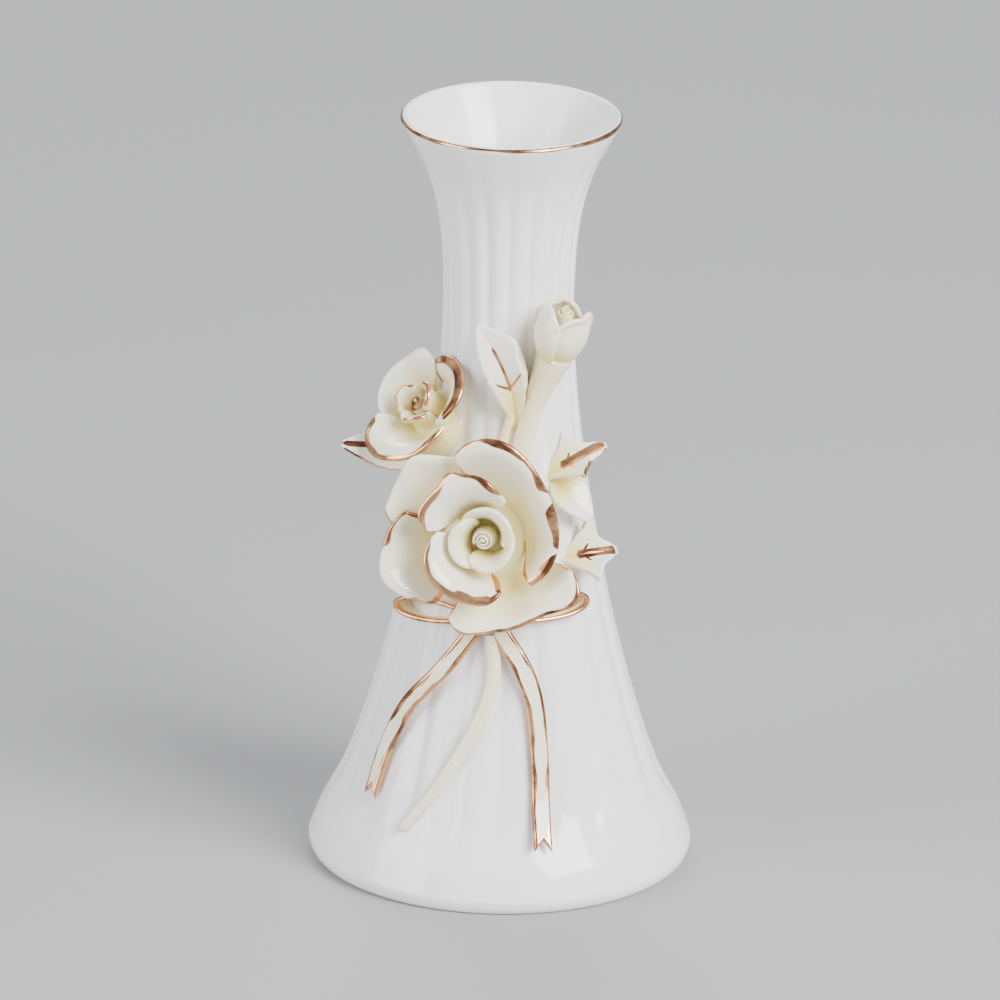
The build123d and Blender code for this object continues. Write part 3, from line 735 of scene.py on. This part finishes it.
leaf(
    "leaf_right_lower", on_body(38, 58.5, -0.6), (19.6, -9.4, 59.2), (0, -0.6, -0.8),
    (8.6, 0.5, 0.0, 0.5, 1.1, 1.3), rib=(0.32, 0.92, 1.0), lobes=0.35,
    veins=[(0.34, -1, 2.0), (0.36, 1, 2.0)], gilded=[(-1, 0.45, 0.6, 0.3)],
)

# ---------------------------------------------------------------- ribbon
RIBBON = 1.2  # thickness of the tails
NOTCH = 2.0  # depth of the notch at a tail's end
LOOP_WIDTH, LOOP_ROOT = 2.5, 3.0  # how far a loop reaches outward and inward from its path
OUTWARD = np.array([1.0, 1.0, 0.0])  # takes away a point's height


def tail(name, path, width):
    """A tail of the bow along (x, z, gap from the body), its end notched and its gold on both edges."""
    spine = curve_points([front(x, z, gap + RIBBON / 2) for x, z, gap in path], 80)
    away = unit(spine * OUTWARD)
    side = unit(np.cross(unit(np.gradient(spine, axis=0)), away))
    lengths = run_length(spine)
    s = (2 * clustered(31) - 1)[None, :]
    v = clustered(80)[:, None]
    target = v * (lengths[-1] - NOTCH * (1 - np.abs(s)) ** 1.1)

    def at(values):
        return np.stack([np.interp(target, lengths, values[:, axis]) for axis in range(3)], -1)

    twist = 0.25 * np.sin(3.0 * v) * s
    grid = at(spine) + at(side) * (width / 2 * s)[..., None] + at(away) * twist[..., None]
    across = (1 - np.abs(s)) * width / 2 + 0 * target
    # Deep colour where the tail leaves the knot: pooled yellow with painted shade between the parts.
    tint = (1 - smooth(v, 0.0, 0.3)) * 0.4 + 0 * target
    piece = sheet(name, grid, across, target[-1] - target, RIBBON, tint=tint, gilt=0.75 + 0 * target)
    finish(piece, CREAM, name)


tail(
    "ribbon_tail_left",
    [(-4.4, 48.2, 0.6), (-10.4, 40.6, 2.2), (-16.2, 33.2, 1.8), (-20.0, 24.4, 0.6), (-22.6, 15.6, 0.0)],
    3.0,
)
tail(
    "ribbon_tail_right",
    [
        (-0.6, 47.6, 0.6), (3.6, 41.2, 1.2), (5.7, 35.0, 0.5), (6.7, 25.5, 0.2), (7.1, 17.6, 0.4),
        (7.6, 11.2, 1.6),
    ],
    3.3,
)


def loop(name, start, tip, bulge):
    """A flat loop of the bow, out from start round its tip and back, on edge to the body."""
    start, tip = np.array(start), np.array(tip)
    along = tip - start
    away = unit((start + tip) * OUTWARD)
    rise = unit(np.cross(away, along))
    t = np.linspace(-1, 1, 101)[:, None]
    bow = 1 - t * t
    path = start + along * bow**0.7 + rise * (1.6 * bulge * t * bow**0.8 + 0.9 * t)
    w = -LOOP_ROOT + (LOOP_WIDTH + LOOP_ROOT) * late_clustered(25)[None, :]
    grid = path[:, None] + away * w[..., None]
    flat = 0 * (t + w)
    piece = sheet(name, grid, OPEN + flat, LOOP_WIDTH - w + flat, CLAY, tint=0.35 + flat, gilt=0.9 + flat)
    finish(piece, CREAM, name)


loop("ribbon_loop_left", (-4.6, -17.2, 49.8), (-17.4, -9.2, 48.9), 1.9)
loop("ribbon_loop_right", (1.2, -18.2, 50.3), (13.6, -12.9, 51.8), 2.0)


def knot():
    """The lump that the loops and tails come out of: half an egg with a skirt that runs into the body."""
    half_width, half_height, depth, skirt = 4.6, 2.3, 2.4, 3.0
    place = (-1.6, -18.2, 49.4)
    lat = np.linspace(0.02, pi / 2, 40)[:, None]
    lon = np.linspace(0, 2 * pi, 64, endpoint=False)[None, :]
    x = half_width * np.sin(lat) ** 0.8 * np.cos(lon)
    y = -depth * np.cos(lat) ** 0.7 - 0.15 * np.sin(2.2 * x)
    z = half_height * np.sin(lat) ** 0.8 * np.sin(lon) * (1 + 0.08 * np.sin(2 * lon))
    points = np.stack([x, y, z], -1) + place
    points = np.concatenate([points, points[-1:] + (0, skirt, 0)])
    faces = grid_faces(len(lat) + 1, lon.size, wrap=True)
    attributes = even(points[..., 0].size, edge=OPEN, tint=0.3, gilt=0.0)
    piece = mesh_object("ribbon_knot_lump", points.reshape(-1, 3), faces, attributes)
    finish(outward(piece), CREAM, "ribbon_knot")


knot()

# ---------------------------------------------------------------- floor, lights, camera, in metres
bpy.ops.mesh.primitive_plane_add(size=6.0, location=(0, 0, 0))
floor = bpy.context.object
floor.name = "floor"
material, tree, shader = new_material("floor")
grey = mix_colour(tree, noise(tree, 3.0), (0.34, 0.34, 0.345), (0.37, 0.37, 0.375))
tree.links.new(grey, shader.inputs["Base Color"])
shader.inputs["Roughness"].default_value = 0.75
floor.data.materials.append(material)

world = bpy.data.worlds.new("studio")
bpy.context.scene.world = world
world.use_nodes = True
background = world.node_tree.nodes["Background"]
background.inputs["Color"].default_value = (0.80, 0.82, 0.86, 1)
background.inputs["Strength"].default_value = 0.55


def area(name, place, target, size, power):
    """A rectangular white area light that faces the target."""
    data = bpy.data.lights.new(name, "AREA")
    data.shape = "RECTANGLE"
    data.size, data.size_y = size
    data.energy = power
    lamp = bpy.data.objects.new(name, data)
    lamp.location = place
    lamp.rotation_euler = (Vector(target) - Vector(place)).to_track_quat("-Z", "Y").to_euler()
    bpy.context.scene.collection.objects.link(lamp)


area("window_right", (0.70, -0.65, 0.70), (0, 0, 0.06), (0.65, 0.65), 32.0)
area("fill_left", (-0.85, -0.45, 0.40), (0, 0, 0.06), (0.6, 0.8), 10.0)
area("back_high", (-0.15, 0.8, 0.8), (0, 0, 0.08), (0.7, 0.4), 7.0)

TARGET, DISTANCE = Vector((-0.0009, 0, 0.0645)), 2.0
ELEVATION, ROLL = radians(20.2), radians(0.95)
camera_data = bpy.data.cameras.new("camera")
camera_data.sensor_width = 36.0
camera_data.lens = 414.5
camera_data.clip_end = 50.0
camera = bpy.data.objects.new("camera", camera_data)
camera.location = TARGET + Vector((0, -cos(ELEVATION), sin(ELEVATION))) * DISTANCE
look = (TARGET - camera.location).to_track_quat("-Z", "Y").to_matrix()
camera.rotation_euler = (look @ Matrix.Rotation(ROLL, 3, "Z")).to_euler()
bpy.context.scene.collection.objects.link(camera)
bpy.context.scene.camera = camera
